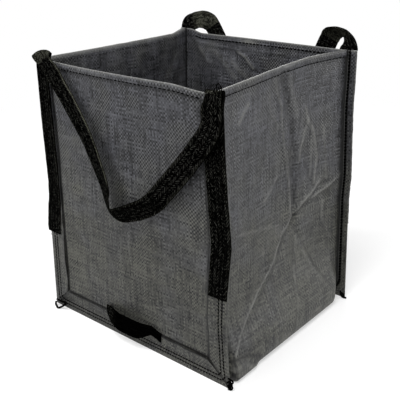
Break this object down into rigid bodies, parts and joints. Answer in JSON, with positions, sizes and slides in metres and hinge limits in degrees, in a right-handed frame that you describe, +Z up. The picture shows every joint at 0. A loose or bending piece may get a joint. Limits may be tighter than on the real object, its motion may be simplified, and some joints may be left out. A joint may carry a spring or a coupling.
{
  "type": "yard tote",
  "caption": "Square open-topped yard tote of woven polypropylene, with webbing handles hanging outside and a pull loop at its foot.",
  "frame": {"origin": "on the floor, under the middle of the bag's square base", "axes": "+Z up through the open top, -Y towards the front panel with the pull loop, +X to the right of someone who faces the front"},
  "size_m": [0.413, 0.4423, 0.5017],
  "materials": {
    "panel_cloth": "coated weave, satin",
    "strip_cloth": "coated weave, satin",
    "webbing": "matte herringbone",
    "thread": "matte"
  },
  "bodies": {
    "bag": {"front_panel": "panel_cloth", "back_panel": "panel_cloth", "side_strip": "strip_cloth", "front_left_leg": "webbing", "front_right_leg": "webbing", "back_left_leg": "webbing", "back_right_leg": "webbing", "front_outer_seam": "thread", "front_inner_seam": "thread", "back_outer_seam": "thread", "back_inner_seam": "thread", "front_rim_seam": "thread", "back_rim_seam": "thread", "left_rim_seam": "thread", "right_rim_seam": "thread"},
    "front_handle": {"front_handle_loop": "webbing", "front_left_bend": "webbing", "front_right_bend": "webbing"},
    "back_handle": {"back_handle_loop": "webbing", "back_left_bend": "webbing", "back_right_bend": "webbing"},
    "pull_loop": {"pull_loop": "webbing"}
  },
  "joints": [
    {"name": "front_handle_swing", "type": "hinge", "parent": "bag", "child": "front_handle", "pos_m": [-0.00504, -0.18149, 0.4745], "axis": [-0.9993, 0, 0.037], "range_deg": [0, 215], "deforming": ["front_left_bend", "front_right_bend"]},
    {"name": "back_handle_swing", "type": "hinge", "parent": "bag", "child": "back_handle", "pos_m": [-0.00515, 0.19472, 0.485], "axis": [1, 0, 0], "range_deg": [0, 215], "deforming": ["back_left_bend", "back_right_bend"]},
    {"name": "pull_loop_swing", "type": "hinge", "parent": "bag", "child": "pull_loop", "pos_m": [-0.00057, -0.17855, 0.0535], "axis": [-1, 0, 0], "range_deg": [0, 85]}
  ]
}
